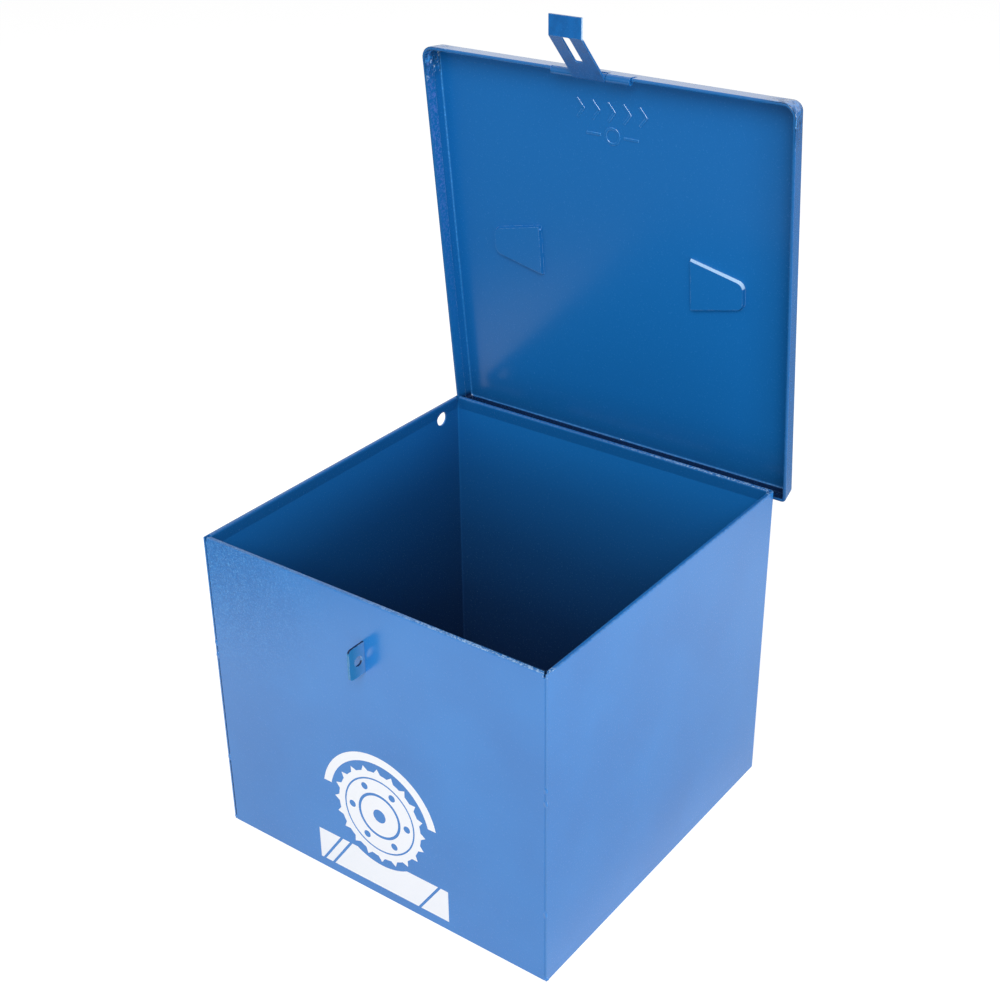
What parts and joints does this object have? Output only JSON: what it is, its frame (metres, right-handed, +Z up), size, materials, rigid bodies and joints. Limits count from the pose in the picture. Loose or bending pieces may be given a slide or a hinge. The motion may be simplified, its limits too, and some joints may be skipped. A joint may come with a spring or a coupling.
{
  "type": "sheet steel tool carrying case",
  "caption": "Square sheet steel carrying case with a hinged tray lid, a slotted hasp over a padlock staple and a folding wire handle.",
  "frame": {"origin": "middle of the case's footprint, on the surface it stands on", "axes": "+X to the case's right seen from the front, +Y to the back where the hinges are, +Z up; the lid stands open at rest"},
  "size_m": [0.2695, 0.2911, 0.5157],
  "materials": {
    "blue_paint": "glossy blue powder coat",
    "plated_wire": "bright zinc plate"
  },
  "bodies": {
    "case": {"wall_wrap": "blue_paint", "front_panel": "blue_paint", "bottom_pan": "blue_paint", "padlock_staple": "blue_paint", "hinge_leaf_body_left": "blue_paint", "hinge_leaf_body_right": "blue_paint", "hinge_pin_left": "blue_paint", "hinge_pin_right": "blue_paint"},
    "lid": {"lid": "blue_paint", "hinge_leaf_lid_left": "blue_paint", "hinge_leaf_lid_right": "blue_paint", "handle_bracket_left": "blue_paint", "handle_bracket_right": "blue_paint", "hasp_pin": "blue_paint"},
    "hasp": {"hasp_strap": "blue_paint"},
    "handle": {"handle": "plated_wire"}
  },
  "joints": [
    {"name": "lid_hinge", "type": "hinge", "parent": "case", "child": "lid", "pos_m": [0, 0.13415, 0.2097], "axis": [1, 0, 0], "range_deg": [-96, 84]},
    {"name": "hasp_hinge", "type": "hinge", "parent": "lid", "child": "hasp", "pos_m": [-0.0033, 0.10744, 0.47531], "axis": [1, 0, 0], "range_deg": [-110, 56]},
    {"name": "handle_swing", "type": "hinge", "parent": "lid", "child": "handle", "pos_m": [0.00125, 0.1344, 0.34698], "axis": [1, 0, 0], "range_deg": [0, 160]}
  ]
}
